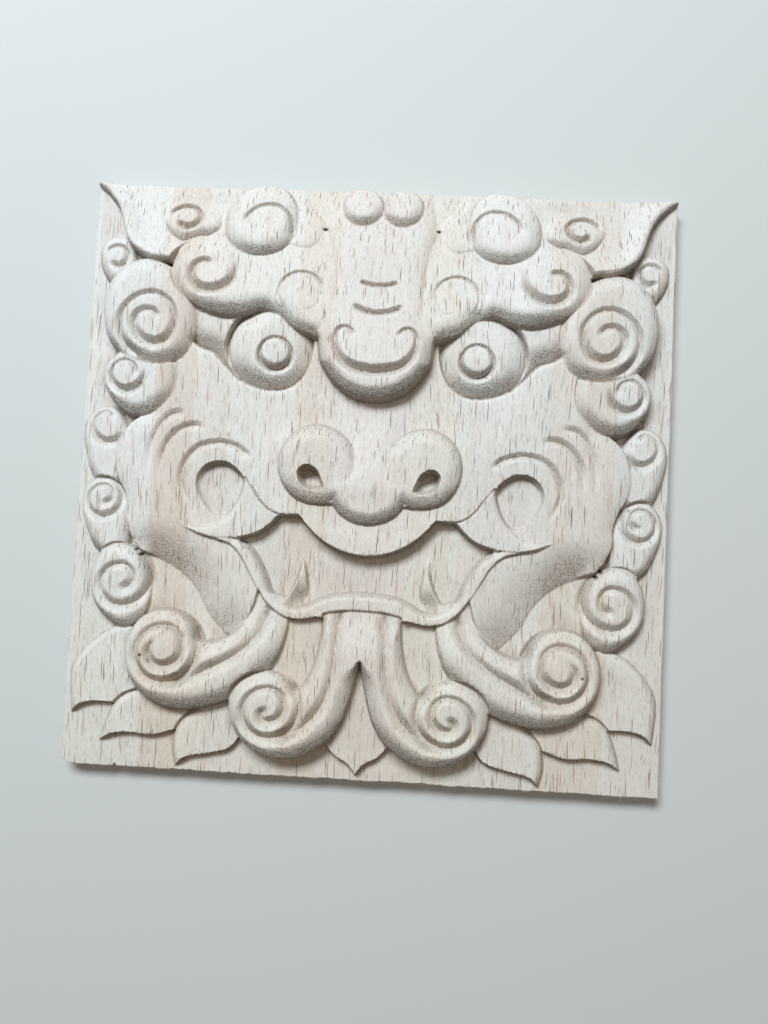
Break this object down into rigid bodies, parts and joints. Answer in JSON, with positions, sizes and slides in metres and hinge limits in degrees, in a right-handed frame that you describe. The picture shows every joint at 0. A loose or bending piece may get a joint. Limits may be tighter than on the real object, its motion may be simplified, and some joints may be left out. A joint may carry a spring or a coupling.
{
  "type": "carved wood panel",
  "caption": "Square wooden panel carved in low relief with a guardian lion mask, with curls around the face and a flat back.",
  "frame": {"origin": "centre of the panel's flat back", "axes": "+Z out of the carved face, +Y up the face towards the forehead, +X towards the right as seen from the front"},
  "size_m": [0.15, 0.15, 0.0146],
  "materials": {
    "carved_panel": "raw, unsanded, no varnish"
  },
  "bodies": {
    "root": {"carved_panel": "carved_panel"}
  },
  "joints": []
}
